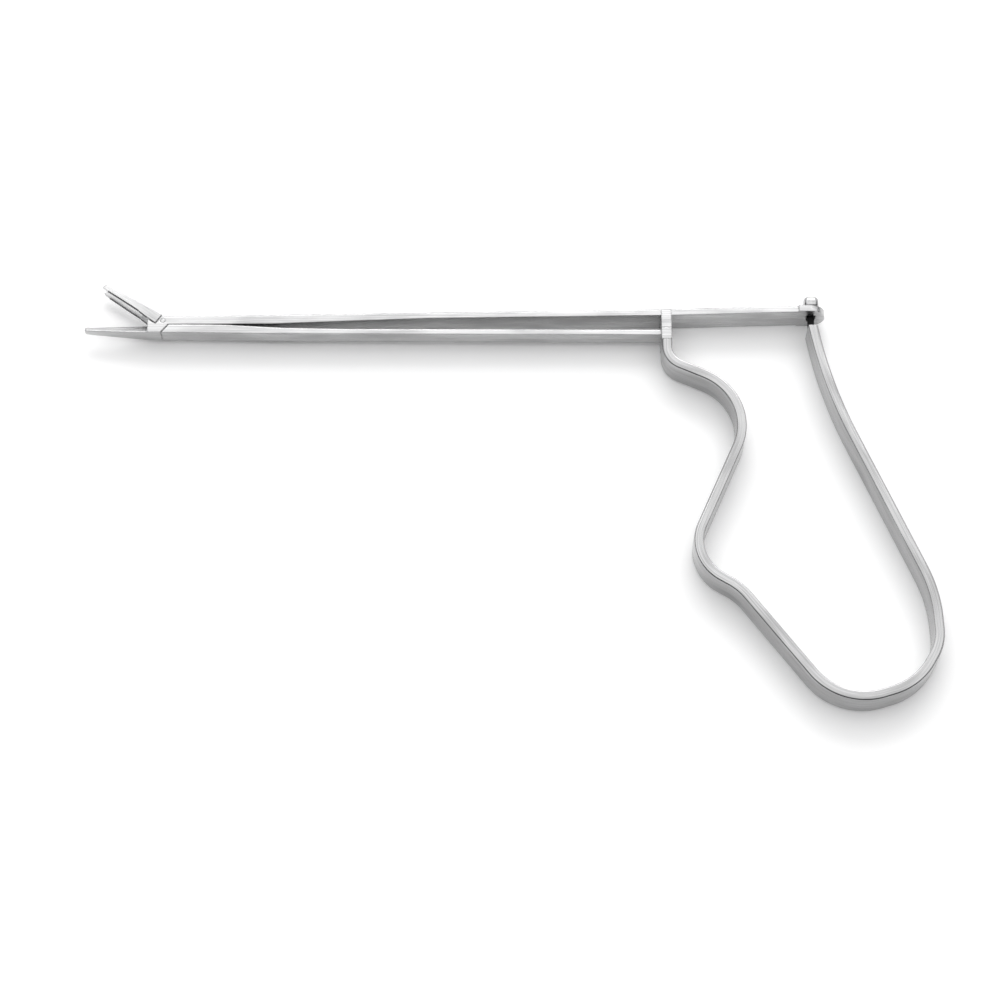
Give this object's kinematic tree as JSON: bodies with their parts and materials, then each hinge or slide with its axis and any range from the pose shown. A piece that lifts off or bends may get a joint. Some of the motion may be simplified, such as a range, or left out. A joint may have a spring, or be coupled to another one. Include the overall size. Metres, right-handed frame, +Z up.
{
  "type": "alligator forceps",
  "caption": "Long slender forceps with a hinged toothed jaw at the tip, a sliding pull bar and a bent one-piece spring strap handle.",
  "frame": {"origin": "on the table side of the handle strap, in the middle of its straight finger column, 2 mm below the brazed seam of the pull bar", "axes": "+X along the shaft away from the jaws, +Y from the handle towards the shaft, +Z up from the table across the instrument"},
  "size_m": [0.2044, 0.1084, 0.008],
  "materials": {
    "satin_steel": "satin ground stainless steel",
    "pin_steel": "ground flush stainless pin"
  },
  "bodies": {
    "shaft": {"upper_bar": "satin_steel", "pivot_pin": "pin_steel", "handle_spring": "satin_steel", "retaining_head": "satin_steel"},
    "pull_bar": {"pull_bar": "satin_steel", "guide_fork": "satin_steel", "drive_pin": "pin_steel"},
    "upper_jaw": {"upper_jaw": "satin_steel"}
  },
  "joints": [
    {"name": "pull_slide", "type": "slide", "parent": "shaft", "child": "pull_bar", "axis": [1, 0, 0], "range_m": [0, 0.00121], "stiffness_N_per_m": 3000, "deforming": ["handle_spring"]},
    {"name": "jaw_pivot", "type": "hinge", "parent": "shaft", "child": "upper_jaw", "pos_m": [-0.1226, 0.0078, 0.004], "axis": [0, 0, 1], "range_deg": [0, 35.2]}
  ],
  "couplings": [
    {"joint": "jaw_pivot", "follows": "pull_slide", "rad_per_m": 509.66}
  ]
}
